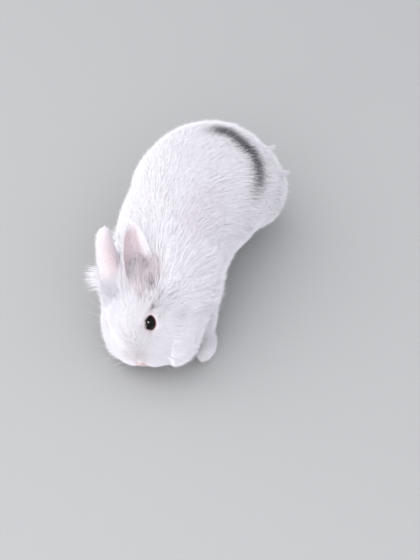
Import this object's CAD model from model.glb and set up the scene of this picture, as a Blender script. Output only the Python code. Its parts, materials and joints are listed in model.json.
"""The looks of a life-size lionhead rabbit, crouched to graze.

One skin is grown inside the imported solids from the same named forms, and solid tufts of fur
are rooted on it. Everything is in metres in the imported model's frame, +Z up, and the rabbit
faces -Y. The tables of bones, forms and zones are in millimetres and degrees.
"""

import functools
import json
import math

import bmesh
import bpy
import numpy as np
from mathutils import Matrix, Vector, kdtree

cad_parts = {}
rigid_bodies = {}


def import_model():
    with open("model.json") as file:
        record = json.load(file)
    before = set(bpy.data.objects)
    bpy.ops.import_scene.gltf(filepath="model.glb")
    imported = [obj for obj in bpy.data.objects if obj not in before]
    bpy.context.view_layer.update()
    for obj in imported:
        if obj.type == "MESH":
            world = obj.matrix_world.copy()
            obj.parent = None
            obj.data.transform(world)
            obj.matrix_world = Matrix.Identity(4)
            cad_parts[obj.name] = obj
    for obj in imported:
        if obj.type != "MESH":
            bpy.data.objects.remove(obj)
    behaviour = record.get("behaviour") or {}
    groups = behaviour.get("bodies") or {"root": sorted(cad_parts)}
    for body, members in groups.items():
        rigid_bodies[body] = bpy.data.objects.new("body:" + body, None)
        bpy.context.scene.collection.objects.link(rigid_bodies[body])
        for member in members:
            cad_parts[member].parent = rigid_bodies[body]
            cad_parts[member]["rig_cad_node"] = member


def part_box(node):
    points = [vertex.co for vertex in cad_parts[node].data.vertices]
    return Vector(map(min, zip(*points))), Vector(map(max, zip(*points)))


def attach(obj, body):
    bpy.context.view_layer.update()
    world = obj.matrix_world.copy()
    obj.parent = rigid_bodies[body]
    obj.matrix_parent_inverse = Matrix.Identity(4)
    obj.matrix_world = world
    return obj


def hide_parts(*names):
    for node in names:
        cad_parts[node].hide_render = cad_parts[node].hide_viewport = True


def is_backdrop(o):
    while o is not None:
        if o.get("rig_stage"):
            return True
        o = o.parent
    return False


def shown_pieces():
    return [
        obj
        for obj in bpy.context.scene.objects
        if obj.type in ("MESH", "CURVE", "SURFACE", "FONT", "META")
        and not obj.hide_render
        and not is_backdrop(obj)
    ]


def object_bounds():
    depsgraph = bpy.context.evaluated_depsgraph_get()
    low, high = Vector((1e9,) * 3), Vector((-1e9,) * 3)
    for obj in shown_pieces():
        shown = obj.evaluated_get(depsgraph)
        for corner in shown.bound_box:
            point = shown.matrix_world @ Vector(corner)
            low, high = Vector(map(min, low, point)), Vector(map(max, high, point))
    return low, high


MM = 0.001
SEED = 11

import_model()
SOLID_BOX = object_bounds()

# The animal's form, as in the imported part

# Where each bone frame stands: origin, then heading, pitch and roll
BONES = {
    "head": ((-10, 11.6, 45), 294.5, -28, 28),
    "neck": ((-12, 36, 58), 287, -12, 10),
    "chest": ((-13, 60, 54), 293, -6, 0),
    "loin": ((-24, 98, 60), 274, -4, 0),
    "pelvis": ((-32, 151, 60), 248, 6, 0),
    "tail": ((9, 196, 44), 228, 0, 0),
}

# Forms of the coat: bone, centre (forward, left, up), radii, fillet and, if any, turn
TRUNK_FORMS = {
    "ribs": ("chest", (0, 0.5, 0), (52, 45.5, 46), 12),
    "withers": ("chest", (-14, 0, 20), (40, 30, 28), 14),
    "bib": ("chest", (34, 2, -12), (26, 34, 30), 14),
    "belly": ("loin", (0, -2, -8), (54, 51, 49), 14),
    "back": ("loin", (-2, -5, 8), (52, 43, 48), 16),
    "rump": ("pelvis", (-1.5, 0.5, 0), (66, 58, 59), 16),
    "nape": ("neck", (0, 2.5, 0), (34, 37, 34), 12),
    "thigh_left": ("pelvis", (7, 24, -18), (41, 24, 36), 12),
    "thigh_right": ("pelvis", (4, -40, -18), (44, 25, 38), 12),
    "shoulder_left": ("chest", (8, 27, -10), (30, 17, 34), 12),
    "shoulder_right": ("chest", (8, -28, -10), (30, 18, 34), 12),
    "dock": ("tail", (7, 1, 20), (14, 15, 18), 16),
    "scut": ("tail", (-1, 0, 0), (15, 16, 17), 10),
    "breech": ("tail", (10, 11, -9), (18, 18.5, 22), 14),
    "cranium": ("head", (-6, 0, 2), (39, 24, 27), 8),
    "muzzle": ("head", (20, 0, -8), (22, 16, 16), 9),
    "nose": ("head", (36, 0, -9), (6, 6, 7), 5),
    "cheek_left": ("head", (-6, 19, -13), (25, 16, 19), 12),
    "cheek_right": ("head", (-8, -22, -8), (29, 19, 22), 12),
    "jowl_left": ("head", (12.5, 25, -21), (28, 20, 15), 15),
    "jowl_right": ("head", (12, -23, -15), (26, 18.5, 18), 13),
    "pad_left": ("head", (27, 10, -14), (14, 11, 10), 8),
    "pad_right": ("head", (26, -12, -13), (15, 12, 12), 8),
    "face_left": ("head", (11, 12, -5), (18, 12, 13), 12),
    "face_right": ("head", (11, -12, -5), (18, 12, 13), 12),
    "chin": ("head", (25, 0, -24), (13, 9, 6), 3),
    "brow_left": ("head", (2, 13.5, 17.5), (12, 5.5, 5), 6),
    "brow_right": ("head", (2, -13.5, 17.5), (12, 5.5, 5), 6),
}
LIMB_FORMS = {
    "hock_left": ("pelvis", (4, 29, -51), (44, 14, 11), 5, (0, -6, 0)),
    "hock_right": ("pelvis", (-2, -42, -51), (46, 14, 11), 5, (0, -6, 0)),
    "forearm_left": ("chest", (24, 33, -34), (26, 12, 17), 9, (0, -35, 0)),
    "forearm_right": ("chest", (20, -26, -34), (26, 12, 17), 9, (0, -35, 0)),
    "paw_left": ("chest", (46, 38, -45), (16, 9.5, 9), 5, (0, 6, 0)),
    "paw_right": ("chest", (42, -24, -45), (16, 9.5, 9), 5, (0, 6, 0)),
}
LIMB_FILLET = 0.006
# The field far from every form, and how far past its radii a form still counts
FAR = 0.05
NEAR_REACH = 0.022
# How far from the head's middle the face is looked for
FACE_REACH = 0.066

# Eyes: radius of the ball and of the lids over it, centre in the head's frame, the way they
# face, how the lids slant, and half the long and the short way across their opening in mm
EYE_RADIUS = 0.0079
LID_RADIUS = 0.0086
EYE_CENTRE = (8.2, 13.5, 9.3)
EYE_FACING = (0.20, 0.87, 0.45)
LID_SLANT = (0.87, 0, -0.49)
LID_OPENING = (7.4, 5.6)
# The hollow round an eye: how far out its tool stands, the tool's radius, and its fillet
DISH_OUT = 0.0210
DISH_RADIUS = 0.0100
DISH_FILLET = 0.0030
# How far ahead of the eye's centre the lids start, their fillet and the thickness of their lip
LID_BACK = 0.0020
LID_FILLET = 0.0016
LID_LIP = 0.0010
# The bare rim of the lids: its radius and how far out it runs in the opening; and how much the
# eye's front swells
RIM_RADIUS = 0.00055
RIM_ACROSS = 0.97
CORNEA = 0.05

# Mouth and nose: the split of the upper lip, the line of the mouth, and the nostrils,
# with their centre, radii and turn; how deep the grooves are, and how far their lines lie
# under the skin
LIP_STOPS = ((44, 0, -12.5), (43, 0, -16), (40, 0, -19.5), (37, 0, -22))
MOUTH_STOPS = ((37, 0, -22), (35, 4, -24), (31, 9, -25), (26, 14, -25), (22, 18, -24))
NOSTRIL = ((41.0, 4.2, -8.6), (4.0, 1.5, 3.2), (35, -10, 0))
GROOVE = 0.0011
LIP_GROOVE = 0.8 * GROOVE
LIP_SUNK = -0.0004
MOUTH_SUNK = -0.0003
GROOVE_FILLET = 0.0008

# Ears in the head's frame: foot, the way it points, the turn of its cup, its width in metres,
# how much fuller it is at its tip, and how far it bends back
EARS = {
    "ear_left": ((-13.5, 14.5, 15.5), (-0.784, 0.09, 0.614), 54, 0.0270, 0, 0.05),
    "ear_right": ((-14, -20, 14), (-0.728, 0.198, 0.656), -97, 0.0250, 0.45, -0.02),
}
# Length, thickness of the wall and of the rim, how far the thin ear stays within the packed
# one, its rings, and the corners across its back
EAR_LENGTH = 0.066
EAR_WALL = 0.0030
EAR_RIM = 0.0012
EAR_INSET = 0.0006
EAR_STATIONS = 44
EAR_ARC_POINTS = 25
# Colours of its back, the warm middle of the back, its cup, and its foot
EAR_BACK = (0.84, 0.80, 0.84)
EAR_WARM = (0.86, 0.76, 0.79)
EAR_CUP = (0.72, 0.64, 0.68)
EAR_LOW = (0.46, 0.40, 0.43)
# The skin's last ring as a share of the ear, how far up its foot's wool goes, and the length
# of wool in mm over which the foot is white
EAR_END = 0.985
EAR_FOOT = 0.42
WOOLLY = 10

# The coat: fur of the trunk, then zones that change it, each an ellipsoid on a bone.
# Depth of the skin under the coat's outside, length of a tuft, its width, how many stand on
# a square millimetre, how far its tip stands over the coat, and how much it curls.
FUR_TRUNK = {"depth": 3.6, "length": 10.0, "width": 0.42, "count": 1.18, "over": 0.9, "curl": 0.04}
FUR_ZONES = {
    "tail": (("tail", (2, 2, 6), (22, 22, 26)), 10, (5.0, 13.0, 0.42, 1.6, 1.4, 0.08)),
    "ruff": (("neck", (2, 0, -2), (50, 50, 50)), 14, (6.0, 18.0, 0.42, 1.4, 1.4, 0.10)),
    "bib": (("chest", (40, 4, -20), (28, 28, 28)), 12, (7.0, 20.0, 0.45, 1.3, 1.8, 0.25)),
    "face": (("head", (13, 0, 0), (33, 37, 31)), 14, (2.8, 8.0, 0.34, 2.7, 0.9, 0.08)),
    "cheek_left": (("head", (-20, 28, -20), (24, 24, 24)), 8, (6.0, 16.0, 0.40, 1.9, 1.8, 0.12)),
    "cheek_right": (("head", (-20, -30, -16), (26, 26, 26)), 8, (6.0, 16.0, 0.40, 1.9, 2.0, 0.12)),
    "crown": (("head", (-26, 2, 22), (18, 22, 18)), 8, (6.5, 15.0, 0.38, 2.2, 1.8, 0.12)),
    "jowl_left": (("head", (10, 30, -22), (26, 18, 18)), 10, (3.4, 10.0, 0.34, 2.6, 1.3, 0.08)),
    "jowl_right": (("head", (12, -29, -16), (26, 16, 20)), 10, (3.4, 10.0, 0.34, 2.6, 1.3, 0.08)),
    "crown_right": (("head", (-16, -19, 17), (18, 15, 14)), 9, (5.0, 17.0, 0.40, 2.0, 3.2, 0.16)),
    "ear_front_left": (("head", (-29, 19.6, 31), (18, 12, 15)), 8, (16.0, 7.0, 0.34, 3.2, -12.5, 0.08)),
    "muzzle": (("head", (36, 0, -10), (20, 20, 18)), 12, (1.7, 4.2, 0.28, 4.5, 0.4, 0.05)),
    "nose": (("head", (43, 0, -11), (6, 6, 8)), 4, (1.0, 1.8, 0.2, 5.0, 0.1, 0.05)),
    "eye_left": (("head", (9, 18, 11), (12, 10, 12)), 10, (1.6, 4.0, 0.26, 5.0, 0.2, 0.05)),
    "eye_right": (("head", (9, -18, 11), (12, 10, 12)), 10, (1.6, 4.0, 0.26, 5.0, 0.2, 0.05)),
    "paw_left": (("chest", (38, 37, -42), (32, 13, 17)), 8, (2.2, 7.0, 0.36, 2.0, 0.9, 0.10)),
    "paw_right": (("chest", (34, -25, -42), (32, 13, 17)), 8, (2.2, 7.0, 0.36, 2.0, 0.9, 0.10)),
    "foot_left": (("pelvis", (4, 29, -53), (47, 17, 14)), 6, (2.0, 6.5, 0.40, 1.6, 0.5, 0.05)),
    "foot_right": (("pelvis", (-2, -42, -53), (49, 17, 14)), 6, (2.0, 6.5, 0.40, 1.6, 0.5, 0.05)),
}

# Which piece of coat a root belongs to: the first of these ellipsoids that holds it
COAT_PIECES = {
    "hind_foot_left": FUR_ZONES["foot_left"][0],
    "hind_foot_right": FUR_ZONES["foot_right"][0],
    "hind_leg_left": ("pelvis", (-2, 34, -16), (54, 32, 44)),
    "hind_leg_right": ("pelvis", (4, -44, -18), (46, 30, 40)),
    "foreleg_left": ("chest", (36, 36, -40), (34, 15, 19)),
    "foreleg_right": ("chest", (32, -26, -40), (34, 15, 19)),
    "tail": ("tail", (-9, 0, 0), (22, 24, 24)),
    "head": ("head", (1, 1, -4), (54, 49, 42)),
    "neck": ("neck", (0, 0, 0), (52, 62, 60)),
}
# Most triangles in a piece, the share of the tufts that is made, what the number of loose
# hairs is divided by, how much wider the fewer tufts are, and the width of an ear's hair
PIECE_TRIANGLES = 150_000
COAT_SHARE = 0.96
THINNED = 1
WIDENED = 1
EAR_HAIR_WIDTH = 0.36 * MM
# How far tufts draw together, how far their shading leans to the sky, and how much of it
# they share in short fur and in wool
CLUMP = 0.22
SKYWARD = 0.9
FUR_SOFT = 0.94
WOOL_SOFT = 0.72
# Tufts longer than this are wool
LONG_HAIR = 0.0125
# Share of the tufts that stray out of the coat, and how far, by their length
STRAY_SHARE = 0.16
STRAY_RISE = 0.30
# How far each kind of thing stays over the floor
CLAW_FLOOR = 0.0003
SKIN_FLOOR = 0.0004
FUR_FLOOR = 0.0009
ROOT_FLOOR = 0.0012

# Markings: colours, the route of the band over the rump with how dark it is along it, half
# its width in mm, and how far a hair carries its colour over an edge
WHITE = (0.915, 0.895, 0.945)
BAND_COLOUR = (0.055, 0.048, 0.062)
PINK_SKIN = (0.80, 0.55, 0.52)
BAND_STOPS = (
    (-9.4, -11.2, 57.1), (-15.6, -7.7, 56.7), (-20.8, -2.8, 56), (-24, 4.8, 55), (-26.3, 12.2, 53.1),
    (-28.6, 19.7, 49.8), (-31.1, 25.1, 46.1), (-30.9, 30.9, 42.4), (-29.3, 36.5, 38.6),
    (-27.1, 41.4, 34.6), (-23.2, 45.7, 31), (-19.1, 49.1, 27.5), (-15.2, 51.7, 24.2),
)
BAND_ALONG = (0, 0.06, 0.5, 0.8, 1)
BAND_STRENGTH = (0.3, 1, 1, 0.85, 0.25)
BAND_HALF = 9.0
BAND_FADE = 1.5
BAND_CORE = 1.25
RAGGED = 0.0040
# Share of pink skin in the undercoat, of the undercoat at a tuft's root, of a spot's strands
# in an even shade, and of its colour in a strand
UNDERCOAT_PINK = 0.2
ROOT_SHADE = 0.6
EVEN_STRANDS = 0.5
STRAND_COLOUR = 0.9

# The photograph's camera, aimed at a place on the floor
CAMERA_AZIMUTH = 31
CAMERA_ELEVATION = 52
CAMERA_DISTANCE = 0.95
CAMERA_AIM = (3.23, 102.97, 0)
CAMERA_LENS = 66.4

# Stage: half the floor's width, the light from all round, what the lamps shine at, and each
# lamp's name, size, power, colour and place
FLOOR_HALF = 3.0
WORLD_COLOUR = (0.93, 0.95, 1.0, 1)
WORLD_STRENGTH = 1.18
LAMP_AIM = (0, 0, 0.05)
LAMPS = (
    ("key", 1.8, 10, (1.0, 0.98, 0.95), (-0.55, -0.25, 1.15)),
    ("fill", 1.4, 9, (1.0, 0.985, 1.0), (0.30, -1.15, 0.50)),
    ("glint", 0.30, 14, (1.0, 1.0, 1.0), (0.64, -0.34, 0.78)),
)


# Bones and forms


def bone_axes(heading, pitch, roll):
    """Forward, left and up of a bone, as the rows of a matrix."""
    h, p, r = (math.radians(a) for a in (heading, pitch, roll))
    forward = np.array((math.cos(h) * math.cos(p), math.sin(h) * math.cos(p), math.sin(p)))
    level = np.array((-math.sin(h), math.cos(h), 0.0))
    above = np.cross(forward, level)
    left = level * math.cos(r) + above * math.sin(r)
    return np.array((forward, left, np.cross(forward, left)))


def frame_offset():
    """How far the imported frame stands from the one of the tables, told by the left eye."""
    origin, *angles = BONES["head"]
    expected = np.array(origin) * MM + np.array(EYE_CENTRE) * MM @ bone_axes(*angles)
    low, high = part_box("eye_left")
    return (np.array(low) + np.array(high)) / 2 - expected


OFFSET = frame_offset()
FRAMES = {
    name: (np.array(origin) * MM + OFFSET, bone_axes(*angles))
    for name, (origin, *angles) in BONES.items()
}


def place(bone, offset):
    """World place of points given in mm along a bone's forward, left and up."""
    origin, axes = FRAMES[bone]
    return origin + np.array(offset, float) * MM @ axes


def local(bone, points):
    """Points in mm along a bone's forward, left and up."""
    origin, axes = FRAMES[bone]
    return (points - origin) @ axes.T / MM


def way(bone, direction):
    """World direction, of unit length, of a direction in a bone's frame."""
    return unit(np.array(direction, float) @ FRAMES[bone][1])


def unit(vectors):
    return vectors / np.maximum(np.linalg.norm(vectors, axis=-1, keepdims=True), 1e-12)


def flattened(vectors, normals, share=1.0):
    """The vectors less that share of their part along the normals."""
    return vectors - share * (vectors * normals).sum(-1, keepdims=True) * normals


def mixed(first, second, share):
    """The first, with that share of the second in it."""
    return first * (1 - share) + np.array(second) * share


def turned(axes, turn):
    """Axes of a bone, turned by yaw, pitch and roll about its own directions."""
    yaw, pitch, roll = (math.radians(a) for a in turn)
    about = (
        Matrix.Rotation(yaw, 3, "Z") @ Matrix.Rotation(-pitch, 3, "Y") @ Matrix.Rotation(roll, 3, "X")
    )
    return np.array(about).T @ axes


@functools.lru_cache(maxsize=None)
def form_frame(bone, centre, radii, turn):
    """World centre, axes and radii of a form."""
    return place(bone, centre), turned(FRAMES[bone][1], turn).T, np.array(radii) * MM


def form_distance(points, bone, centre, radii, turn=(0, 0, 0)):
    """About how far the points are from an ellipsoid, negative inside."""
    middle, axes, sizes = form_frame(bone, centre, radii, turn)
    offset = (points - middle) @ axes / sizes
    reach = np.linalg.norm(offset, axis=-1)
    slope = np.linalg.norm(offset / sizes, axis=-1)
    return reach * (reach - 1) / np.maximum(slope, 1e-9)


def smooth(share):
    share = np.clip(share, 0, 1)
    return share * share * (3 - 2 * share)


def nearby(points, middle, reach):
    """Numbers of the points within reach of a place."""
    return np.flatnonzero(((points - middle) ** 2).sum(-1) < reach**2)


def within(points, shape, fade):
    """1 well inside an ellipsoid, 0 well outside, over a fade in mm."""
    bone, centre, radii = shape
    share = np.zeros(len(points))
    near = nearby(points, place(bone, centre), (max(radii) + fade) * MM)
    share[near] = smooth(0.5 - form_distance(points[near], *shape) / (fade * MM))
    return share


def fur(points):
    """Each trait of the coat at each point, lengths in metres."""
    traits = np.tile(list(FUR_TRUNK.values()), (len(points), 1))
    for shape, fade, values in FUR_ZONES.values():
        traits = mixed(traits, values, within(points, shape, fade)[:, None])
    made = dict(zip(FUR_TRUNK, traits.T))
    for name in ("depth", "length", "width", "over"):
        made[name] = made[name] * MM
    return made


def blended(first, second, width):
    """Two fields joined by a fillet of that width."""
    share = np.clip(0.5 + 0.5 * (second - first) / width, 0, 1)
    return second + (first - second) * share - width * share * (1 - share)


def carved(body, tool, width):
    """The body with the tool taken out of it, and the edge rounded."""
    return -blended(-body, tool, width)


def together(points, forms):
    """The forms joined in turn, each by its own fillet."""
    total = np.full(len(points), FAR)
    for bone, centre, radii, fillet, *turn in forms.values():
        near = nearby(points, place(bone, centre), max(radii) * MM + NEAR_REACH)
        form = form_distance(points[near], bone, centre, radii, *turn)
        total[near] = blended(total[near], form, fillet * MM)
    return total


def coat(points):
    """The whole outside of the coat as a field, negative inside, ears and eyes left out."""
    return blended(together(points, TRUNK_FORMS), together(points, LIMB_FORMS), LIMB_FILLET)


def bare_skin(points):
    """The skin without its face: the coat's outside sunk by the coat's depth."""
    return coat(points) + fur(points)["depth"]


def slopes(field, points, step=0.0002):
    """How the field changes along each axis."""
    ends = [field(points + step * axis) - field(points - step * axis) for axis in np.eye(3)]
    return np.stack(ends, axis=-1) / (2 * step)


def onto(field, points, level=0.0, steps=6):
    """The points moved along the field's slope to where it has that value."""
    points = np.array(points, float)
    for _ in range(steps):
        slope = slopes(field, points)
        off = field(points) - level
        points = points - (off / np.maximum((slope**2).sum(-1), 0.05))[:, None] * slope
    return points


def along_line(points, stops):
    """Distance to a bent line, and the share of its stops passed at the nearest place."""
    nearest = np.full(len(points), np.inf)
    passed = np.zeros(len(points))
    for number, (start, end) in enumerate(zip(stops, stops[1:])):
        run = end - start
        share = np.clip((points - start) @ run / (run @ run), 0, 1)
        away = np.linalg.norm(points - start - share[:, None] * run, axis=-1)
        closer = away < nearest
        nearest[closer] = away[closer]
        passed[closer] = (number + share[closer]) / (len(stops) - 1)
    return nearest, passed


def line_distance(points, stops):
    return along_line(points, stops)[0]


def sided(offset, side):
    """An offset on the left side, or its mirror image on the right one."""
    return offset if side > 0 else (offset[0], -offset[1], offset[2])


LIP_SPLIT = onto(bare_skin, place("head", LIP_STOPS), LIP_SUNK)
MOUTH_LINES = {
    side: onto(bare_skin, place("head", [sided(stop, side) for stop in MOUTH_STOPS]), MOUTH_SUNK)
    for side in (1, -1)
}


@functools.lru_cache(maxsize=None)
def eye_frame(side):
    """Centre of an eye, the way it faces, and the long and short axes of its lids."""
    facing = way("head", sided(EYE_FACING, side))
    long_axis = unit(flattened(way("head", LID_SLANT), facing))
    return place("head", sided(EYE_CENTRE, side)), facing, long_axis, np.cross(facing, long_axis)


def lid_reach(points, side):
    """How far out a point stands across the opening of the lids: 1 on its edge."""
    centre, _, long_axis, short_axis = eye_frame(side)
    offset = points - centre
    return np.hypot(offset @ long_axis / LID_OPENING[0], offset @ short_axis / LID_OPENING[1]) / MM


def nostril_distance(points, side):
    centre, radii, (yaw, pitch, roll) = NOSTRIL
    return form_distance(points, "head", sided(centre, side), radii, (side * yaw, pitch, side * roll))


def skin(points):
    """The skin, with its lids, mouth and nostrils."""
    field = bare_skin(points)
    near = nearby(points, FRAMES["head"][0], FACE_REACH)
    field[near] = with_face(points[near], field[near])
    return field


def with_face(points, field):
    """The field with the eyes' dishes and lids, the mouth, the nostrils and the split lip."""
    for side in (1, -1):
        centre, facing, *_ = eye_frame(side)
        offset = points - centre
        outward = offset @ facing
        dish = np.linalg.norm(offset - facing * DISH_OUT, axis=-1) - DISH_RADIUS
        field = carved(field, dish, DISH_FILLET)
        lid = np.linalg.norm(offset, axis=-1) - LID_RADIUS
        field = blended(field, np.maximum(lid, LID_BACK - outward), LID_FILLET)
        across = (lid_reach(points, side) - 1) * LID_OPENING[1] * MM
        field = carved(field, np.maximum(across, LID_BACK + LID_LIP - outward), LID_LIP / 2)
        field = carved(field, line_distance(points, MOUTH_LINES[side]) - GROOVE, GROOVE_FILLET)
        field = carved(field, nostril_distance(points, side), GROOVE_FILLET)
    return carved(field, line_distance(points, LIP_SPLIT) - LIP_GROOVE, GROOVE_FILLET)


# The skin as a mesh

# Cells round the head and elsewhere, and grid lines to a block
FINE_CELL = 0.0011
COARSE_CELL = 0.0028
BLOCK = 8
# Lowest and highest corner of the fine cells from the head's middle, and the room left
# round the solids
FINE_BOX = ((-0.050, -0.050, -0.048), (0.048, 0.046, 0.050))
BOX_MARGIN = 0.004
# A block is worked out where the field at its middle is below the block's reach, times the
# factor and with the room added
BLOCK_FACTOR = 1.4
BLOCK_ROOM = 0.006


def grid_lines(low, high, fine_low, fine_high):
    """Grid lines along one axis, fine within a span and coarse outside it."""
    before = np.arange(fine_low - COARSE_CELL, low - COARSE_CELL, -COARSE_CELL)[::-1]
    fine = np.arange(fine_low, fine_high, FINE_CELL)
    after = np.arange(fine[-1] + COARSE_CELL, high + COARSE_CELL, COARSE_CELL)
    return np.concatenate((before, fine, after))


def field_on_grid(field, lines):
    """The field on a grid, worked out only in the blocks that its surface may cross."""
    counts = [len(line) for line in lines]
    values = np.empty(counts)
    spans = [[slice(s, min(s + BLOCK, n)) for s in range(0, n, BLOCK)] for n in counts]
    blocks = [(i, j, k) for i in spans[0] for j in spans[1] for k in spans[2]]
    ends = np.array([[(line[s.start], line[s.stop - 1]) for line, s in zip(lines, b)] for b in blocks])
    middles, reach = ends.mean(-1), np.linalg.norm(ends[..., 1] - ends[..., 0], axis=-1) / 2
    at_middles = field(middles)
    crossed = np.abs(at_middles) < reach * BLOCK_FACTOR + BLOCK_ROOM
    for block, value in zip(blocks, at_middles):
        values[block] = math.copysign(1, value)
    chosen = [blocks[i] for i in np.flatnonzero(crossed)]
    points = []
    for block in chosen:
        grid = np.meshgrid(*(line[s] for line, s in zip(lines, block)), indexing="ij")
        points.append(np.stack(grid, axis=-1).reshape(-1, 3))
    found = field(np.concatenate(points))
    start = 0
    for block, part in zip(chosen, points):
        values[block] = found[start : start + len(part)].reshape([s.stop - s.start for s in block])
        start += len(part)
    return values


def crossings(values, axis):
    """Where the field changes sign along an axis: the places in grid steps, the four cells
    round each, and whether it leaves the inside there."""
    start, end = [slice(None)] * 3, [slice(None)] * 3
    start[axis], end[axis] = slice(None, -1), slice(1, None)
    first, second = values[tuple(start)], values[tuple(end)]
    crossed = (first < 0) != (second < 0)
    index = np.argwhere(crossed)
    a, b = first[crossed], second[crossed]
    at = index.astype(float)
    at[:, axis] += a / (a - b)
    across, along = [k for k in range(3) if k != axis]
    cells = []
    for step_across, step_along in ((0, 0), (1, 0), (1, 1), (0, 1)):
        cell = index.copy()
        cell[:, across] -= step_across
        cell[:, along] -= step_along
        cells.append(cell)
    return at, cells, a < 0


def surface(field, lines):
    """Vertices and quads of the surface where the field is zero, by surface nets."""
    values = field_on_grid(field, lines)
    counts = np.array(values.shape) - 1
    total = np.zeros((*counts, 3), np.float32)
    hits = np.zeros(counts, np.float32)
    found = [crossings(values, axis) for axis in range(3)]
    for at, cells, _ in found:
        for cell in cells:
            np.add.at(total, tuple(cell.T), at)
            np.add.at(hits, tuple(cell.T), 1)
    used = hits > 0
    number = np.full(counts, -1)
    number[used] = np.arange(used.sum())
    steps = total[used] / hits[used][:, None]
    places = [np.interp(steps[:, k], np.arange(len(lines[k])), lines[k]) for k in range(3)]
    quads = []
    for axis, (_, cells, leaving) in enumerate(found):
        corners = np.stack([number[tuple(cell.T)] for cell in cells], axis=1)
        forwards = ~leaving if axis == 1 else leaving
        quads.append(np.where(forwards[:, None], corners, corners[:, ::-1]))
    return onto(field, np.stack(places, axis=-1), 0, 2), np.concatenate(quads)


def linked(name, data):
    """A new object in the scene."""
    obj = bpy.data.objects.new(name, data)
    bpy.context.scene.collection.objects.link(obj)
    return obj


def mesh_object(name, vertices, faces):
    """A mesh from arrays; faces all have the same number of corners."""
    faces = np.asarray(faces, np.int32)
    mesh = bpy.data.meshes.new(name)
    mesh.vertices.add(len(vertices))
    mesh.vertices.foreach_set("co", np.asarray(vertices, np.float32).ravel())
    mesh.loops.add(faces.size)
    mesh.loops.foreach_set("vertex_index", faces.ravel())
    mesh.polygons.add(len(faces))
    starts = np.arange(0, faces.size, faces.shape[1], dtype=np.int32)
    mesh.polygons.foreach_set("loop_start", starts)
    mesh.update(calc_edges=True)
    mesh.shade_smooth()
    return linked(name, mesh)


def stored(items, name, width, kind=np.float32):
    """What a mesh stores for each of its items, a row for each."""
    values = np.empty(len(items) * width, kind)
    items.foreach_get(name, values)
    return values.reshape(-1, width)


def vertex_places(obj):
    return stored(obj.data.vertices, "co", 3).astype(float)


def remade(obj, change):
    """Makes a change to the mesh of an object as a bmesh."""
    mesh = bmesh.new()
    mesh.from_mesh(obj.data)
    change(mesh)
    mesh.to_mesh(obj.data)
    mesh.free()
    obj.data.shade_smooth()
    return obj


def painted(obj, colours):
    """Stores a colour at each vertex of the object."""
    rgba = np.ones((len(obj.data.vertices), 4), np.float32)
    rgba[:, :3] = colours
    attribute = obj.data.color_attributes.new("markings", "FLOAT_COLOR", "POINT")
    attribute.data.foreach_set("color", rgba.ravel())


def skin_mesh():
    """The skin, with fine cells round the head and a flat sole just over the floor."""
    low, high = np.array(SOLID_BOX)
    fine_low, fine_high = FRAMES["head"][0] + np.array(FINE_BOX)
    spans = zip(low - BOX_MARGIN, high + BOX_MARGIN, fine_low, fine_high)
    vertices, quads = surface(skin, [grid_lines(*span) for span in spans])
    vertices[:, 2] = np.maximum(vertices[:, 2], SKIN_FLOOR)
    return remade(mesh_object("skin", vertices, quads), kept_largest)


def kept_largest(mesh):
    """Drops all but the largest connected surface of a bmesh."""
    left, pieces = set(mesh.faces), []
    while left:
        piece = [left.pop()]
        for face in piece:
            around = {other for side in face.edges for other in side.link_faces} & left
            left -= around
            piece += around
        pieces.append(piece)
    for piece in sorted(pieces, key=len)[:-1]:
        bmesh.ops.delete(mesh, geom=piece, context="FACES")


def unwrapped(obj):
    """Gives a mesh the UV map that the export bakes through, by the slant of its own faces."""
    obj.data.uv_layers.new(name="OFBake")
    bpy.context.view_layer.objects.active = obj
    for other in bpy.context.selected_objects:
        other.select_set(False)
    obj.select_set(True)
    bpy.ops.object.mode_set(mode="EDIT")
    bpy.ops.mesh.select_all(action="SELECT")
    bpy.ops.uv.smart_project(angle_limit=math.radians(60), island_margin=0.001)
    bpy.ops.object.mode_set(mode="OBJECT")
    obj.select_set(False)


# Markings


def band_share(points):
    """Share of dark hair from the band that crosses the rump."""
    away, along = along_line(local("pelvis", points), np.array(BAND_STOPS, float))
    strength = np.interp(along, BAND_ALONG, BAND_STRENGTH)
    return smooth(BAND_CORE - away / (BAND_HALF + BAND_FADE)) * strength


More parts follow.
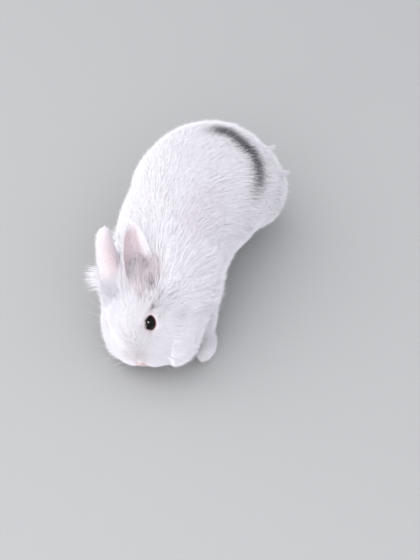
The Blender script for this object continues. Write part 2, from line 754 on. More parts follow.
# Spots of other colour: ellipsoid, fade, colour, strength, and the share of it that comes as
# single darker hairs and not as an even shade
SPOTS = {
    "eye_smudge": (("head", (-3.8, 25.6, 18.5), (2.4, 2.6, 3)), 3, (0.05, 0.04, 0.05), 0.9, 0.6),
    "eye_trail": (("head", (-8.6, 29.5, 19.4), (6, 3, 3)), 5, (0.35, 0.30, 0.34), 0.45, 0.8),
    "eye_trail_low": (("head", (2.4, 27.6, 11.4), (6, 2.5, 3)), 4, (0.35, 0.30, 0.34), 0.30, 0.8),
    "cheek_shade": (("head", (-11.5, 38.8, 13.2), (8, 4, 6)), 7, (0.55, 0.50, 0.57), 0.50, 0.5),
    "cheek_shade_low": (("head", (2.6, 39, -1.3), (8, 3.5, 5)), 6, (0.58, 0.54, 0.60), 0.40, 0.5),
    "ear_floor_left": (("head", (-30, 20, 31), (20, 14, 17)), 6, (0.68, 0.59, 0.63), 0.85, 0.25),
    "ear_foot_left": (("head", (-24.4, 25.3, 27.8), (5, 6, 5)), 5, (0.16, 0.13, 0.15), 0.55, 0.8),
    "ear_front_left": (("head", (-12.7, 16, 27.9), (3, 2.5, 3)), 4, (0.20, 0.16, 0.18), 0.45, 1.0),
    "ear_side_left": (("head", (-12.6, 31.6, 20.3), (7, 5, 6)), 7, (0.30, 0.26, 0.30), 0.35, 0.9),
    "side_wool": (("head", (-30, -21, 20), (6, 6, 5)), 5, (0.25, 0.21, 0.24), 0.5, 0.9),
    "muzzle_top": (("head", (37, -2, 2), (7, 12, 7)), 8, (0.56, 0.47, 0.46), 0.42, 0.6),
    "nose": (("head", (42.5, 1, -7.5), (4, 6.5, 4.5)), 3, (0.66, 0.44, 0.42), 0.7, 0.2),
    "nose_split": (("head", (43.5, 0, -9), (3, 2.2, 4)), 2, (0.30, 0.17, 0.16), 0.9, 0.1),
    "eye_rim_left": (("head", (8.5, 19, 13), (9.5, 5, 9)), 2, (0.74, 0.53, 0.54), 0.45, 0.2),
    "eye_rim_right": (("head", (8.5, -19, 13), (9.5, 5, 9)), 2, (0.74, 0.53, 0.54), 0.45, 0.2),
    "tear_left": (("head", (19, 18.8, 9.8), (5, 2, 2)), 3, (0.60, 0.44, 0.44), 0.4, 0.7),
    "thin_back": (("loin", (4, 26, 40), (30, 16, 22)), 20, (0.86, 0.79, 0.87), 0.6, 0.0),
}


def markings(points, undercoat=False, pick=None):
    """Colour of the coat at each point; pick is a random number for each hair."""
    colour = np.tile(WHITE, (len(points), 1))
    if undercoat:
        colour = mixed(colour, PINK_SKIN, UNDERCOAT_PINK)
    for shape, fade, spot, strength, strands in SPOTS.values():
        share = within(points, shape, fade) * strength
        if pick is None:
            share = share * (1 - EVEN_STRANDS * strands)
        else:
            share = share * (1 - strands) + (pick < share) * strands * STRAND_COLOUR
        colour = mixed(colour, spot, share[:, None])
    return mixed(colour, BAND_COLOUR, band_share(points)[:, None])


# Materials

# Constants on the shaders' own sockets
FUR_LOOK = {
    "Roughness": 0.62,
    "Specular IOR Level": 0.25,
    "Sheen Weight": 0.25,
    "Sheen Roughness": 0.5,
}
SKIN_LOOK = {
    "Roughness": 0.7,
    "Subsurface Weight": 0.15,
    "Subsurface Radius": (0.004, 0.002, 0.0015),
    "Subsurface Scale": 1,
}
EYE_LOOK = {
    "Roughness": 0.04,
    "Coat Weight": 0.06,
    "Coat Roughness": 0.02,
    "Specular IOR Level": 0.12,
}
RIM_LOOK = {"Roughness": 0.32, "Base Color": (0.20, 0.085, 0.085, 1)}
CLAW_LOOK = {"Roughness": 0.32}
FLOOR_LOOK = {"Roughness": 0.9, "Base Color": (0.36, 0.36, 0.36, 1)}
# Stops of colour: from the rim of the iris to the pupil, and through the grain of the horn
IRIS = (
    (0.0, (0.20, 0.08, 0.08)),
    (0.52, (0.040, 0.012, 0.012)),
    (0.62, (0.035, 0.011, 0.010)),
    (0.80, (0.012, 0.004, 0.004)),
    (0.86, (0.003, 0.002, 0.002)),
)
HORN = (
    (0, (0.42, 0.30, 0.26)),
    (1, (0.62, 0.50, 0.45)),
)


def feed(tree, node, inputs):
    """Gives each input of a node a constant or the output of another node."""
    for socket, value in inputs.items():
        if isinstance(value, bpy.types.NodeSocket):
            tree.links.new(value, node.inputs[socket])
        else:
            node.inputs[socket].default_value = value


def added(tree, kind, inputs, operation=None):
    """A new shader node with its inputs."""
    node = tree.nodes.new("ShaderNode" + kind)
    if operation:
        node.operation = operation
    feed(tree, node, inputs)
    return node


def shader_of(name, look):
    """A new material, its nodes and its shader."""
    material = bpy.data.materials.new(name)
    material.use_nodes = True
    shader = material.node_tree.nodes["Principled BSDF"]
    feed(material.node_tree, shader, look)
    return material, material.node_tree, shader


def roughened(tree, shader, noise, height):
    """Makes the surface as uneven as a noise."""
    bump = added(tree, "Bump", {"Height": noise.outputs["Fac"], "Distance": height})
    feed(tree, shader, {"Normal": bump.outputs["Normal"]})


def coloured(tree, shader, value, stops):
    """Gives the shader the colour that the stops have at a value."""
    ramp = added(tree, "ValToRGB", {"Fac": value})
    while len(ramp.color_ramp.elements) < len(stops):
        ramp.color_ramp.elements.new(0.5)
    for element, (position, colour) in zip(ramp.color_ramp.elements, stops):
        element.position = position
        element.color = (*colour, 1)
    feed(tree, shader, {"Base Color": ramp.outputs["Color"]})


def marked_material(name, look, grain):
    """A material that takes its colour from the markings, with a fine grain over it."""
    material, tree, shader = shader_of(name, look)
    colour = tree.nodes.new("ShaderNodeAttribute")
    colour.attribute_name = "markings"
    spot = added(tree, "TexCoord", {}).outputs["Object"]
    noise = added(tree, "TexNoise", {"Vector": spot, "Scale": grain, "Detail": 3})
    light = added(tree, "MapRange", {"Value": noise.outputs["Fac"], "To Min": 0.90, "To Max": 1.08})
    sockets = {0: colour.outputs["Color"], "Scale": light.outputs["Result"]}
    scaled = added(tree, "VectorMath", sockets, "SCALE")
    feed(tree, shader, {"Base Color": scaled.outputs["Vector"]})
    return material, tree, shader, noise


def fur_material():
    return marked_material("fur", FUR_LOOK, 900)[0]


def skin_material():
    material, tree, shader, noise = marked_material("skin_undercoat", SKIN_LOOK, 1400)
    roughened(tree, shader, noise, 0.0004)
    return material


# Tufts

# The lie of the coat: how far a bone's say reaches, how far hair leads off from the bone, how
# far it hangs, on the feet too, how far it lies down, and where it parts on the nose
BONE_REACH = 0.034
OUTWARD = 0.35
HANG = 0.55
FOOT_HANG = 0.35
LYING = 0.85
NOSE_TIP = (40, 0, -6)
# How near to an eye tufts are cut short, the least that is left of one, and the share of the
# way to the lids that it may take up
EYE_GUARD = 0.024
LEFT_AT_EYE = 0.0016
ROOM_AT_EYE = 0.8
# Where nothing roots: ahead of this place on an eye's axis and so near round its lids, up to
# that share of their opening, and so near to a nostril
BARE_AHEAD = -0.002
BARE_ROUND = 0.005
BARE_ACROSS = 1.02
BARE_NOSTRIL = 0.0005
# How deep a tuft starts under its root, how soon it rises to its height, how flat it is, how far
# it spreads on the map of the skin, and how far loose hairs share their shading
ROOT_SUNK = 0.0004
LIFT = 1.6
FLATNESS = 0.45
UV_PATCH = 0.0015
LOOSE_SOFT = 0.4
# How tufts differ: their way, at least and by themselves, their heights and their bends, and
# the ranges of their lengths, widths and shades, all as shares
LEAST_SWIRL = 0.12
OWN_SWIRL = 0.5
HEIGHT_SWIRL = 0.5
BEND_SWIRL = 0.6
LENGTHS = (0.75, 1.15)
WIDTHS = (0.75, 1.25)
SHADES = (0.93, 1.05)
# Share of its width that a tuft loses towards its tip, how late, and how much of a step it
# may rise or sink
TAPER = 0.75
TAPER_LATE = 1.5
STEEPEST = 0.9


def flow_at(points, normals):
    """The way the coat lies: back from the nose, down the flanks, forward on the feet."""
    flow = np.zeros((len(points), 3))
    total = np.zeros((len(points), 1))
    for bone, (origin, axes) in FRAMES.items():
        away = points - origin
        back = -axes[0] + OUTWARD * unit(flattened(away, axes[0]))
        if bone == "head":
            back = unit(points - place("head", NOSE_TIP))
        weight = np.exp(-((away**2).sum(-1)) / BONE_REACH**2)[:, None]
        flow += weight * back
        total += weight
    flow = flow / np.maximum(total, 1e-9) - np.array((0, 0, HANG))
    for name in ("paw_left", "paw_right", "foot_left", "foot_right"):
        shape, fade, _ = FUR_ZONES[name]
        forward = FRAMES[shape[0]][1][0] - np.array((0, 0, FOOT_HANG))
        flow = mixed(flow, forward, within(points, shape, fade)[:, None])
    return unit(flattened(flow, normals, LYING))


def roots_on(obj, random):
    """Roots of tufts over a mesh: place, normal, UV and the coat's traits there."""
    data = obj.data
    data.calc_loop_triangles()
    corners = stored(data.loop_triangles, "vertices", 3, np.int32)
    loops = stored(data.loop_triangles, "loops", 3, np.int32)
    uv = stored(data.uv_layers["OFBake"].data, "uv", 2)[loops]
    normals = stored(data.vertices, "normal", 3).astype(float)[corners]
    spots = vertex_places(obj)[corners]
    sides = spots[:, 1:] - spots[:, :1]
    area = np.linalg.norm(np.cross(sides[:, 0], sides[:, 1]), axis=-1) / 2
    ends = np.cumsum(area / MM**2 * fur(spots.mean(axis=1))["count"] * COAT_SHARE)
    count = int(ends[-1])
    picks = (np.arange(count) + random.random(count)) * ends[-1] / count
    chosen = np.minimum(np.searchsorted(ends, picks), len(ends) - 1)
    mix = np.sqrt(random.random(count))
    slide = random.random(count)
    weights = np.stack((1 - mix, mix * (1 - slide), mix * slide), axis=-1)[..., None]
    spots, normals, uv = ((values[chosen] * weights).sum(1) for values in (spots, normals, uv))
    return {"place": spots, "normal": unit(normals), "uv": uv, **fur(spots)}


def short_of_eyes(roots):
    """Shortens the tufts that lie towards an eye, so that none crosses it."""
    spots = roots["place"]
    flow = flow_at(spots, roots["normal"])
    for side in (1, -1):
        centre, facing, *_ = eye_frame(side)
        towards = centre + facing * EYE_RADIUS - spots
        near = (np.linalg.norm(towards, axis=-1) < EYE_GUARD) & ((flow * towards).sum(-1) > 0)
        room = (lid_reach(spots, side) - 1) * LID_OPENING[1] * MM
        most = np.maximum(room * ROOM_AT_EYE, 0) + LEFT_AT_EYE
        roots["length"] = np.where(near, np.minimum(roots["length"], most), roots["length"])
    return roots


def kept(roots, chosen):
    return {name: values[chosen] for name, values in roots.items()}


def clear_of_face(roots):
    """Drops the roots on the floor and in the eyes, the mouth and the nostrils."""
    spots = roots["place"]
    good = spots[:, 2] > ROOT_FLOOR
    for side in (1, -1):
        centre, facing, *_ = eye_frame(side)
        ahead = (spots - centre) @ facing > BARE_AHEAD
        close = np.linalg.norm(spots - centre, axis=-1) < LID_RADIUS + BARE_ROUND
        good &= ~(ahead & close & (lid_reach(spots, side) < BARE_ACROSS))
        good &= line_distance(spots, MOUTH_LINES[side]) > GROOVE
        good &= nostril_distance(spots, side) > BARE_NOSTRIL
    good &= line_distance(spots, LIP_SPLIT) > GROOVE
    return kept(roots, good)


def nearest_of(places):
    """A function that gives for each point the number of the nearest of these places."""
    tree = kdtree.KDTree(len(places))
    for number, spot in enumerate(places):
        tree.insert(spot, number)
    tree.balance()
    return lambda points: np.array([tree.find(point)[1] for point in points])


def clumped(spots, share, random):
    """For each root, the nearest one of a sparser set of them."""
    leaders = random.choice(len(spots), max(1, int(len(spots) * share)), replace=False)
    return leaders[nearest_of(spots[leaders])(spots)]


def centre_lines(roots, rings, random, clump):
    """Points along each tuft, from under its root to its tip, laid in the coat."""
    spots, normals = roots["place"], roots["normal"]
    count = len(spots)
    flow = flow_at(spots, normals)
    side = np.cross(normals, flow)
    leaders = clumped(spots, clump, random)
    swirl = random.normal(0, 1, (count, 2))
    swirl = swirl[leaders] * CLUMP + random.normal(0, 1, (count, 2)) * OWN_SWIRL
    curl = roots["curl"][:, None]
    heading = unit(flow + side * swirl[:, :1] * (LEAST_SWIRL + curl))
    run = roots["length"] * random.uniform(*LENGTHS, count) / rings
    sunk = -roots["depth"]
    top = roots["over"] * (1 + HEIGHT_SWIRL * swirl[:, 1])
    stray = random.random(count) < STRAY_SHARE
    top = top + stray * random.random(count) * roots["length"] * STRAY_RISE
    pull = flattened((spots[leaders] - spots) * CLUMP, normals)
    lines = [spots - normals * ROOT_SUNK]
    point = spots
    for ring in range(1, rings + 1):
        heading = unit(heading + side * (swirl[:, 1:] * curl * BEND_SWIRL))
        point = point + heading * run[:, None] + pull / rings
        target = sunk + (top - sunk) * (1 - (1 - ring / rings) ** LIFT)
        off = coat(point) - target
        point = point - normals * np.clip(off, -run * STEEPEST, run * STEEPEST)[:, None]
        point[:, 2] = np.maximum(point[:, 2], FUR_FLOOR)
        lines.append(point)
    return np.stack(lines, axis=1), side


def tuft_faces(rings, count):
    """Faces of many tufts, each with three corners to a ring and one at its tip."""
    faces = []
    for ring in range(rings - 1):
        for k in range(3):
            a, b = ring * 3 + k, ring * 3 + (k + 1) % 3
            faces += [(a, b, b + 3), (a, b + 3, a + 3)]
    tip = rings * 3
    faces += [(tip - 3 + k, tip - 3 + (k + 1) % 3, tip) for k in range(3)]
    return ((np.arange(count) * (tip + 1))[:, None, None] + np.array(faces)).reshape(-1, 3)


def tuft_corners(lines, side, width, random):
    """Corners of each tuft: three round each station, in turn, and one at its tip."""
    rings = lines.shape[1] - 1
    along = unit(np.gradient(lines, axis=1))
    across = unit(flattened(side[:, None], along))
    above = np.cross(along, across)
    slim = 1 - TAPER * (np.arange(rings) / rings) ** TAPER_LATE
    half = width[:, None] / 2 * random.uniform(*WIDTHS, (len(lines), 1)) * slim
    corners = []
    for angle in (math.pi / 2, math.pi * 7 / 6, math.pi * 11 / 6):
        spread = across[:, :rings] * (math.cos(angle) * half)[..., None]
        rise = above[:, :rings] * (math.sin(angle) * half * FLATNESS)[..., None]
        corners.append(lines[:, :rings] + spread + rise)
    body = np.stack(corners, axis=2).reshape(len(lines), rings * 3, 3)
    return np.concatenate((body, lines[:, -1:]), axis=1)


def tuft_mesh(name, lines, side, roots, shades, random, soft):
    """A closed three-sided spike round each line, coloured from root to tip."""
    count, rings = len(lines), lines.shape[1] - 1
    corners = tuft_corners(lines, side, roots["width"], random)
    shades = shades * random.uniform(*SHADES, (count, 1, 1))
    shades = np.concatenate((np.repeat(shades[:, :rings], 3, axis=1), shades[:, -1:]), axis=1)
    faces = tuft_faces(rings, count)
    corner_u = np.append(np.tile((-1, 0, 1), rings), 0)
    corner_v = np.append(np.repeat(np.linspace(-1, 0.7, rings), 3), 1)
    uvs = roots["uv"][:, None] + UV_PATCH * np.stack((corner_u, corner_v), axis=-1)
    obj = mesh_object(name, corners.reshape(-1, 3), faces)
    painted(obj, shades.reshape(-1, 3))
    layer = obj.data.uv_layers.new(name="OFBake")
    layer.data.foreach_set("uv", uvs.reshape(-1, 2)[faces.ravel()].astype(np.float32).ravel())
    reach = np.append(np.repeat(np.arange(rings) / rings, 3), 1)[None, :, None]
    ends = roots.get("tip_normal", roots["normal"])
    shared = mixed(roots["normal"][:, None], ends[:, None], reach)
    shared = unit(shared + np.array((0, 0, SKYWARD))).reshape(-1, 3)
    own = stored(obj.data.vertices, "normal", 3)
    obj.data.normals_split_custom_set_from_vertices(unit(mixed(own, shared, soft)))
    return obj


def in_coat(obj, material):
    """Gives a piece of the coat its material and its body."""
    obj.data.materials.append(material)
    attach(obj, "root")


def in_ear_skin(obj, material):
    """Gives an ear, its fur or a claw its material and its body."""
    obj.data.materials.append(material)
    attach(obj, "root")


def tuft_shades(roots, lines, random):
    """Colour at each station of each tuft: what the markings say there, with ragged edges."""
    count, stations = lines.shape[:2]
    slide = random.normal(0, RAGGED, (count, 1, 1))
    spots = lines + unit(lines[:, -1] - lines[:, 0])[:, None] * slide
    pick = np.repeat(random.random(count), stations)
    shades = markings(spots.reshape(-1, 3), pick=pick).reshape(count, stations, 3)
    shades[:, 0] = mixed(shades[:, 0], markings(roots["place"], True), ROOT_SHADE)
    return shades


def piece_of(points):
    """The name of the coat piece that holds each root."""
    names = np.full(len(points), "torso", dtype=object)
    free = np.ones(len(points), bool)
    for name, shape in COAT_PIECES.items():
        inside = free & (form_distance(points, *shape) < 0)
        names[inside] = name
        free &= ~inside
    return names


def coat_pieces(roots, rings, random, material, prefix, clump, soft):
    """The coat as several meshes, each under the limit on triangles."""
    lines, side = centre_lines(roots, rings, random, clump)
    roots["tip_normal"] = unit(slopes(coat, lines[:, -1]))
    shades = tuft_shades(roots, lines, random)
    names = piece_of(roots["place"])
    most = PIECE_TRIANGLES // (6 * rings - 3)
    for name in sorted(set(names)):
        chosen = np.flatnonzero(names == name)
        chosen = chosen[np.argsort(local("loin", roots["place"][chosen])[:, 0])]
        parts = math.ceil(len(chosen) / most)
        for number, part in enumerate(np.array_split(chosen, parts)):
            label = f"{prefix}_{name}" + (f"_{number + 1}" if parts > 1 else "")
            part_roots = kept(roots, part)
            obj = tuft_mesh(label, lines[part], side[part], part_roots, shades[part], random, soft)
            in_coat(obj, material)


# Wisps, whiskers and claws

# Tufts that stand out of the coat: bone, middle of the roots, their spread, the way they point,
# length, how many, how far they draw together at their tips, and how far their ways differ
WISPS = {
    "side_of_head": ("head", (-29, -17, 19), (11, 6, 8), (0.05, -0.86, 0.50), 29, 620, 0.25, 0.17),
    "jowl_fringe": ("head", (15, 33, -26), (15, 9, 6), (0.70, 0.45, -0.40), 9, 600, 0.1, 0.2),
    "jowl_side": ("head", (0, -34, -12), (16, 6, 16), (0.25, -0.85, 0.2), 9, 500, 0.0, 0.25),
    "scut_tip": ("tail", (-8, 8, 18), (7, 7, 7), (-0.96, 0.0, 0.22), 15, 800, 0.9, 0.06),
    "dock_tip": ("tail", (-1.5, -9, 39), (6, 6, 6), (-0.92, -0.17, 0.34), 12, 600, 0.9, 0.06),
    "crown_tuft": ("head", (-15, -14, 24), (9, 9, 6), (-0.62, -0.35, 0.70), 22, 900, 0.0, 0.20),
}
# Wool round the foot of each ear: how many, their length, how far out they root, the part of the
# ring left free on each side of the opening, and the length of the wool on the ear's own foot
EAR_WOOL = {
    "ear_left": (450, 11.0, 4.5, 1.9, 5.0),
    "ear_right": (900, 24.0, 12.0, 0.3, 15.0),
}
# Width of the loose hairs, how far they draw together, and how far they droop by their length
WISP_WIDTH = 0.36 * MM
WISP_LENGTHS = (0.45, 1.1)
WISP_DROOP = 0.08
WOOL_LENGTHS = (0.55, 1.1)
WOOL_GATHER = 0.1
WOOL_DROOP = 0.03
WHISKER_WIDTH = 0.20 * MM
WHISKER_LENGTHS = (0.018, 0.030)
WHISKER_DROOP = 0.16
WHISKER_STATIONS = 9
# The level of the skin's field at which a loose hair roots
HAIR_SUNK = -0.0005
# Claws of each foot: bone, where they stand, and how far apart
CLAWS = {
    "foreleg_left": ("chest", (60, 38, -49), 4.4),
    "foreleg_right": ("chest", (56, -24, -49), 4.4),
    "hind_foot_left": ("pelvis", (46, 29, -56), 6.0),
    "hind_foot_right": ("pelvis", (42, -42, -56), 6.0),
}
# A claw's length, radius and drop, and how deep it roots
CLAW_LENGTH = 0.0062
CLAW_RADIUS = 0.0008
CLAW_DROP = 0.0024
CLAW_SUNK = -0.0012


def spikes(name, spots, ways, lengths, width, gather, droop, stations=5, *, uv_at, random, look):
    """Solid hairs from given roots, drawn together by a share and drooping by a share."""
    t = np.linspace(0, 1, stations)[None, :, None]
    aside = flattened(spots - spots.mean(axis=0), unit(ways.mean(axis=0)))
    lines = spots[:, None] + ways[:, None] * lengths[:, None, None] * t - aside[:, None] * gather * t
    lines[..., 2] -= droop * lengths[:, None] * t[..., 0] ** 2
    lines[..., 2] = np.maximum(lines[..., 2], FUR_FLOOR)
    normals = unit(slopes(coat, spots))
    widths = np.full(len(spots), width)
    roots = {"place": spots, "normal": normals, "uv": uv_at(spots), "width": widths}
    side = unit(np.cross(normals, ways) + 1e-6)
    shades = tuft_shades(roots, lines, random)
    in_coat(tuft_mesh(name, lines, side, roots, shades, random, LOOSE_SOFT), look)


def finder(roots):
    """A function that gives the UV of the coat's own root nearest to each place."""
    nearest = nearest_of(roots["place"])
    return lambda spots: roots["uv"][nearest(spots)]


def wisps(hairs, random):
    """Tufts that stand out of the coat."""
    for name, (bone, middle, spread, heading, length, count, gather, differ) in WISPS.items():
        count //= THINNED
        offset = unit(random.normal(0, 1, (count, 3))) * random.random((count, 1)) ** 0.5 * spread
        spots = onto(bare_skin, place(bone, np.array(middle) + offset), HAIR_SUNK, 8)
        ways = unit(way(bone, heading) + random.normal(0, differ, (count, 3)))
        lengths = length * MM * random.uniform(*WISP_LENGTHS, count)
        hairs("wisp_" + name, spots, ways, lengths, WISP_WIDTH, gather, WISP_DROOP)


def ear_wool(name, hairs, random):
    """Wool of the head that stands up round the foot of an ear."""
    foot, axis, opening, side = ear_way(name)
    count, length, out, free, _ = EAR_WOOL[name]
    count //= THINNED
    angle = random.uniform(math.pi / 2 + free, math.pi * 2.5 - free, count)
    radius = ear_profile(name, 0.2)[0] * 1.1 + random.random(count) ** 1.5 * out * MM
    around = side * np.cos(angle)[:, None] + opening * np.sin(angle)[:, None]
    spots = onto(bare_skin, foot + axis * 0.009 + around * radius[:, None], HAIR_SUNK, 8)
    ways = unit(axis + around * 0.06 + random.normal(0, 0.10, (count, 3)))
    lengths = length * MM * random.uniform(*WOOL_LENGTHS, count)
    hairs("wool_foot_" + name, spots, ways, lengths, WISP_WIDTH, WOOL_GATHER, WOOL_DROOP)


def whiskers(side, hairs, random):
    """Long single hairs from the pad of the upper lip and over the eye."""
    starts, ways = [], []
    for row in range(3):
        for column in range(4):
            starts.append((34 - 3.4 * column, 9 + 2.2 * column, -9 - 3.0 * row))
            ways.append((0.25 - 0.22 * column, 0.9, 0.12 - 0.2 * row))
    for column in range(3):
        starts.append((6 + 2.5 * column, 13, 20))
        ways.append((-0.5 + 0.3 * column, 0.5, 0.75))
    spots = onto(skin, place("head", [sided(start, side) for start in starts]), HAIR_SUNK, 8)
    ways = np.array([way("head", sided(one, side)) for one in ways])
    ways = unit(ways + random.normal(0, 0.05, ways.shape))
    lengths = random.uniform(*WHISKER_LENGTHS, len(ways))
    label = "whiskers_left" if side > 0 else "whiskers_right"
    hairs(label, spots, ways, lengths, WHISKER_WIDTH, 0, WHISKER_DROOP, WHISKER_STATIONS)


def claw_material():
    material, tree, shader = shader_of("claw", CLAW_LOOK)
    noise = added(tree, "TexNoise", {"Scale": 400})
    coloured(tree, shader, noise.outputs["Fac"], HORN)
    return material


def claws(foot, material):
    """Four curved claws at the front of a foot, mostly in its fur."""
    bone, (ahead, across, height), spread = CLAWS[foot]
    forward = unit(FRAMES[bone][1][0] * (1, 1, 0))
    t = np.linspace(0, 1, 7)
    corners, faces = [], []
    for offset in (np.arange(4) - 1.5) * spread:
        start = place(bone, [(ahead - abs(offset) * 0.35, across + offset, height)])
        root = onto(bare_skin, start, CLAW_SUNK)[0]
        path = root + np.outer(t, forward * CLAW_LENGTH) - np.outer(t**2, (0, 0, CLAW_DROP))
        made, sides = tube(path, CLAW_RADIUS * (1 - 0.85 * t**1.6))
        faces += [tuple(len(corners) + k for k in face) for face in sides]
        corners += made
    corners = np.array(corners)
    corners[:, 2] = np.maximum(corners[:, 2], CLAW_FLOOR)
    in_ear_skin(mesh_object("claws_" + foot, corners, faces), material)


# Ears


def ear_way(name):
    """Foot, axis, opening and side of an ear in the world."""
    foot, axis, spin = EARS[name][:3]
    axis = way("head", axis)
    head = FRAMES["head"][1]
    front = way("head", (axis @ head[2], 0, -axis @ head[0]))
    front = unit(flattened(front, axis))
    outward = np.cross(axis, front)
    angle = math.radians(spin)
    opening = front * math.cos(angle) + outward * math.sin(angle)
    return place("head", foot), axis, opening, np.cross(axis, opening)


def ear_profile(name, t):
    """Half width, half angle of the cup and wall of the ear at that share of its length."""
    stops = (0, 0.12, 0.3, 0.55, 0.8, 0.93, 1)
    half_width = np.interp(t, stops, (0.30, 0.38, 0.49, 0.47, 0.34, 0.21, 0.07))
    half_width = half_width * EARS[name][3] * (1 + EARS[name][4] * t**3)
    cup = np.radians(np.interp(t, stops, (150, 128, 96, 70, 56, 48, 40)))
    wall = np.interp(t, stops, (1.25, 1.1, 1, 0.9, 0.75, 0.6, 0.5)) * EAR_WALL
    return half_width, cup, wall


def ear_arcs(name, t):
    """Centre, radius, half angle and wall of the ear's arc at each share of its length."""
    foot, axis, opening, _ = ear_way(name)
    inside = np.clip(t, 0, 1)
    half_width, cup, wall = ear_profile(name, inside)
    radius = half_width / np.sin(np.minimum(cup, math.pi / 2))
    bend = EAR_LENGTH * EARS[name][5] * np.sin(math.pi * inside)
    centre = foot + np.outer(t, axis * EAR_LENGTH) + np.outer(radius * np.cos(cup) - bend, opening)
    return centre, radius, cup, wall


def ear_rings(name):
    """Corners of an ear ring by ring: across its back, then back through its cup."""
    arcs = ear_arcs(name, np.linspace(0.0, EAR_END, EAR_STATIONS))
    centre, radius, cup, wall = (values[:, None] for values in arcs)
    _, _, opening, side = ear_way(name)
    across = np.linspace(-1, 1, EAR_ARC_POINTS)
    depth = EAR_RIM + (wall - EAR_RIM) * np.sqrt(1 - across**4)
    front = radius - np.maximum(depth - EAR_INSET, EAR_INSET + 0.0002)
    back = np.broadcast_to(radius - EAR_INSET, front.shape)
    reach = np.concatenate((back, front), axis=1)
    angle = cup * np.concatenate((across, across[::-1]))
    out = side * (reach * np.sin(angle))[..., None] - opening * (reach * np.cos(angle))[..., None]
    return centre + out


def loft_faces(stations, sides):
    """Quads between neighbouring rings, each of so many corners."""
    faces = []
    for low in range(0, (stations - 1) * sides, sides):
        for k in range(sides):
            after = low + (k + 1) % sides
            faces.append((low + k, after, after + sides, low + k + sides))
    return faces


def cap_faces(start, sides):
    """Quads across the ring whose corners begin at a number."""
    end = start + sides - 1
    return [(start + k, start + k + 1, end - k - 1, end - k) for k in range(sides // 2 - 1)]


def ear_mesh(name):
    """A thin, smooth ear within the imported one."""
    rings = ear_rings(name)
    stations, sides = rings.shape[:2]
    faces = loft_faces(stations, sides) + cap_faces(0, sides)
    faces += [quad[::-1] for quad in cap_faces((stations - 1) * sides, sides)]
    obj = mesh_object(name + "_skin", rings.reshape(-1, 3), faces)
    return remade(obj, lambda mesh: bmesh.ops.recalc_face_normals(mesh, faces=mesh.faces))


def ear_place(name, points):
    """Share of the ear's length, signed share across it, and whether a point is in its cup."""
    foot, axis, opening, side = ear_way(name)
    t = (points - foot) @ axis / EAR_LENGTH
    centre, radius, cup, wall = ear_arcs(name, t)
    across, out = (points - centre) @ side, (points - centre) @ opening
    return t, np.arctan2(across, -out) / cup, np.hypot(across, out) < radius - wall * 0.5


def ear_colours(name, points):
    """Greyish pink in the cup, white towards the rims, the tip and the back."""
    t, angle, inside = ear_place(name, points)
    warm = smooth(1 - np.abs(angle - 0.2) / 0.6) * smooth((0.9 - t) / 0.3)
    back = mixed(np.array(EAR_BACK), EAR_WARM, warm[:, None])
    colour = np.where(inside[:, None], EAR_CUP, back)
    colour = mixed(colour, EAR_LOW, 0.35 * smooth(1.15 - t / 0.35)[:, None])
    outer = angle if name == "ear_left" else np.abs(angle) - 0.32
    rim = smooth((outer - 0.36) / 0.3) * smooth((t - 0.25) / 0.25)
    rim = np.maximum(rim, smooth((t - 0.82) / 0.12))
    return mixed(colour, WHITE, rim[:, None])


def ear_roots(name, obj, random):
    """Roots of the short fur up an ear, longer at its rims and its foot, fewer in its cup."""
    roots = roots_on(obj, random)
    t, angle, inside = ear_place(name, roots["place"])
    rim = smooth((np.abs(angle) - 0.7) / 0.25)
    foot = smooth(1 - t / EAR_FOOT)
    roots["length"] = (2.8 + 1.0 * rim + EAR_WOOL[name][4] * foot * (1 - 0.7 * inside)) * MM
    roots["length"] *= 1 - 0.6 * smooth((t - 0.88) / 0.1)
    roots["width"] = np.full(len(t), EAR_HAIR_WIDTH)
    roots["curl"] = 0.06 + 0.15 * foot
    roots.update(t=t, angle=angle, inside=inside, rim=rim)
    good = (t > 0.01) & (random.random(len(t)) < np.where(inside, 0.75, 1.0))
    return kept(roots, good)


def ear_fur(name, obj, random, material):
    """Short fur up the ear, and the wool of its foot, white and lit as the crown is."""
    roots = ear_roots(name, obj, random)
    _, axis, _, side = ear_way(name)
    normals, count = roots["normal"], len(roots["t"])
    outward = side * (np.sign(roots["angle"]) * roots["rim"])[:, None]
    flow = axis + outward * 0.8 + random.normal(0, 1, (count, 3)) * 0.12
    flow = unit(flattened(flow, normals))
    lines = [roots["place"] - normals * 0.0003]
    for rise in (0.42, 0.30):
        step = unit(flow + normals * rise + outward * 0.15)
        lines.append(lines[-1] + step * (roots["length"] / 2)[:, None])
    lines = np.stack(lines, axis=1)
    colours = ear_colours(name, roots["place"])
    streak = (random.random(count) < np.where(roots["inside"], 0.26, 0.05))[:, None]
    colours = np.where(streak, colours * 0.6, colours)
    wool = smooth(1.3 - roots["t"] / EAR_FOOT)[:, None] * (EAR_WOOL[name][4] > WOOLLY)
    shades = np.repeat(mixed(colours, WHITE, wool)[:, None], 3, axis=1)
    across = np.cross(normals, flow)
    roots["normal"] = unit(mixed(normals, way("head", (-0.3, 0, 1)), wool))
    in_ear_skin(tuft_mesh(name + "_fur", lines, across, roots, shades, random, 0.5), material)


def make_ear(name, random, fur_look, skin_look):
    obj = ear_mesh(name)
    painted(obj, ear_colours(name, vertex_places(obj)) * (0.94, 0.88, 0.88))
    unwrapped(obj)
    in_ear_skin(obj, skin_look)
    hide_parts(name)
    ear_fur(name, obj, random, fur_look)


# Eyes


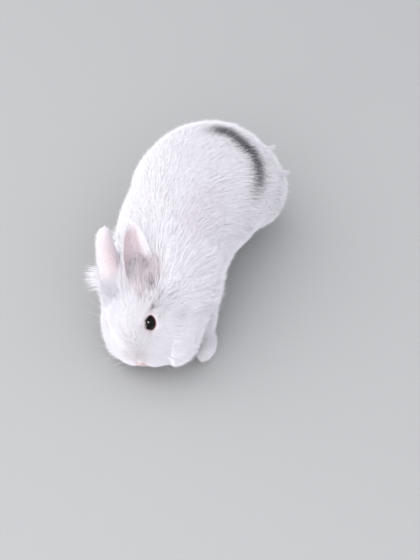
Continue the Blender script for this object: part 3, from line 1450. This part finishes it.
def eye_material(side):
    """Dark brown iris round a black pupil, under a wet, clear surface."""
    material, tree, shader = shader_of("eye", EYE_LOOK)
    centre, facing, *_ = eye_frame(side)
    spot = added(tree, "TexCoord", {}).outputs["Object"]
    offset = added(tree, "VectorMath", {0: spot, 1: centre}, "SUBTRACT").outputs["Vector"]
    ahead = added(tree, "VectorMath", {0: offset, 1: facing / EYE_RADIUS}, "DOT_PRODUCT")
    noise = added(tree, "TexNoise", {"Vector": offset, "Scale": 700})
    sockets = {0: noise.outputs["Fac"], 1: 0.03, 2: ahead.outputs["Value"]}
    wobble = added(tree, "Math", sockets, "MULTIPLY_ADD")
    coloured(tree, shader, wobble.outputs["Value"], IRIS)
    return material


def ball(name, centre, radius, facing, bulge):
    """An eyeball whose front swells a little into a cornea."""
    mesh = bmesh.new()
    bmesh.ops.create_uvsphere(mesh, u_segments=48, v_segments=32, radius=1)
    data = bpy.data.meshes.new(name)
    mesh.to_mesh(data)
    mesh.free()
    turn = Vector((0, 0, 1)).rotation_difference(Vector(facing)).to_matrix()
    for vertex in data.vertices:
        out = 1 + bulge * max(0, vertex.co.z - 0.55) ** 1.5
        vertex.co = turn @ (vertex.co * radius * out) + Vector(centre)
    data.shade_smooth()
    return linked(name, data)


def tube(path, radii, sides=8):
    """A closed tube along a path, round, with its own radius at each point."""
    along = unit(np.gradient(path, axis=0))
    reference = (0, 0, 1.0) if abs(along[0][2]) < 0.9 else (1.0, 0, 0)
    corners = []
    for point, direction, radius in zip(path, along, radii):
        first = unit(np.cross(direction, reference))
        second = np.cross(direction, first)
        for angle in 2 * math.pi * np.arange(sides) / sides:
            corners.append(point + radius * (first * math.cos(angle) + second * math.sin(angle)))
    faces = loft_faces(len(path), sides) + cap_faces(0, sides)
    return corners, faces + cap_faces((len(path) - 1) * sides, sides)


def lid_rim(name, side):
    """The bare, moist rim of the lids, a thin roll round the opening."""
    centre, facing, long_axis, short_axis = eye_frame(side)
    path = []
    for angle in np.linspace(0, 2 * math.pi, 49)[:-1]:
        across = long_axis * math.cos(angle) * LID_OPENING[0]
        across = (across + short_axis * math.sin(angle) * LID_OPENING[1]) * RIM_ACROSS * MM
        out = math.sqrt(max((EYE_RADIUS + 0.0004) ** 2 - across @ across, 1e-8))
        path.append(centre + across + facing * out)
    path = np.array(path + path[:1])
    return mesh_object(name, *tube(path, [RIM_RADIUS] * len(path), 10))


def make_eye(side):
    name = "eye_left" if side > 0 else "eye_right"
    centre, facing, *_ = eye_frame(side)
    obj = ball(name + "_ball", centre, EYE_RADIUS - 0.0001, facing, CORNEA)
    obj.data.materials.append(eye_material(side))
    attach(obj, "root")
    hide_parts(name)
    rim = lid_rim(name + "_rim", side)
    material, tree, shader = shader_of("lid_rim", RIM_LOOK)
    roughened(tree, shader, added(tree, "TexNoise", {"Scale": 900}), 0.0002)
    rim.data.materials.append(material)
    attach(rim, "root")


# Stage


def studio():
    """Floor and soft light."""
    bpy.context.scene.view_settings.view_transform = "Standard"
    ends = (-FLOOR_HALF, FLOOR_HALF)
    floor = mesh_object("floor", [(x, y, 0) for y in ends for x in ends], [(0, 1, 3, 2)])
    floor.data.materials.append(shader_of("floor", FLOOR_LOOK)[0])
    floor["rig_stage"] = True

    world = bpy.data.worlds.new("studio")
    bpy.context.scene.world = world
    world.use_nodes = True
    world.node_tree.nodes["Background"].inputs["Color"].default_value = WORLD_COLOUR
    world.node_tree.nodes["Background"].inputs["Strength"].default_value = WORLD_STRENGTH

    for name, size, energy, colour, location in LAMPS:
        lamp = bpy.data.lights.new(name, "AREA")
        lamp.size = size
        lamp.energy = energy
        lamp.color = colour
        obj = linked(name, lamp)
        obj.location = location
        obj.visible_diffuse = name != "glint"
        aim_at(obj, LAMP_AIM)


def aim_at(obj, target):
    obj.rotation_euler = (Vector(target) - obj.location).to_track_quat("-Z", "Y").to_euler()


def photo_camera():
    azimuth, elevation = math.radians(CAMERA_AZIMUTH), math.radians(CAMERA_ELEVATION)
    aim = np.array(CAMERA_AIM) * MM + OFFSET
    aim[2] = OFFSET[2]
    level = np.array((math.sin(azimuth), -math.cos(azimuth), 0)) * math.cos(elevation)
    back = level + np.array((0, 0, math.sin(elevation)))
    data = bpy.data.cameras.new("photo")
    data.sensor_fit = "VERTICAL"
    data.sensor_height = 36
    data.lens = CAMERA_LENS
    camera = linked("photo", data)
    camera.location = Vector(aim + back * CAMERA_DISTANCE)
    aim_at(camera, aim)
    bpy.context.scene.camera = camera


def make_skin(look):
    """The skin under the coat, which stands for all solids but the ears and the eyes."""
    skin_piece = skin_mesh()
    painted(skin_piece, markings(vertex_places(skin_piece), True))
    unwrapped(skin_piece)
    in_coat(skin_piece, look)
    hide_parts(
        "head", "neck", "torso", "tail", "foreleg_left", "foreleg_right",
        "hind_leg_left", "hind_leg_right", "hind_foot_left", "hind_foot_right",
    )
    return skin_piece


def main():
    random = np.random.default_rng(SEED)
    photo_camera()
    studio()
    fur_look, skin_look = fur_material(), skin_material()
    roots = short_of_eyes(clear_of_face(roots_on(make_skin(skin_look), random)))
    roots["width"] = roots["width"] * WIDENED
    is_long = roots["length"] > LONG_HAIR
    coat_pieces(kept(roots, ~is_long), 2, random, fur_look, "fur", 0.15, FUR_SOFT)
    coat_pieces(kept(roots, is_long), 4, random, fur_look, "wool", 0.08, WOOL_SOFT)
    hairs = functools.partial(spikes, uv_at=finder(roots), random=random, look=fur_look)
    wisps(hairs, random)
    for name in EARS:
        make_ear(name, random, fur_look, skin_look)
        ear_wool(name, hairs, random)
    for side in (1, -1):
        make_eye(side)
        whiskers(side, hairs, random)
    horn = claw_material()
    for foot in CLAWS:
        claws(foot, horn)
    faces = sum(len(o.data.polygons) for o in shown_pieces() if "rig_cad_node" not in o)
    print("faces in the looks:", faces)


main()
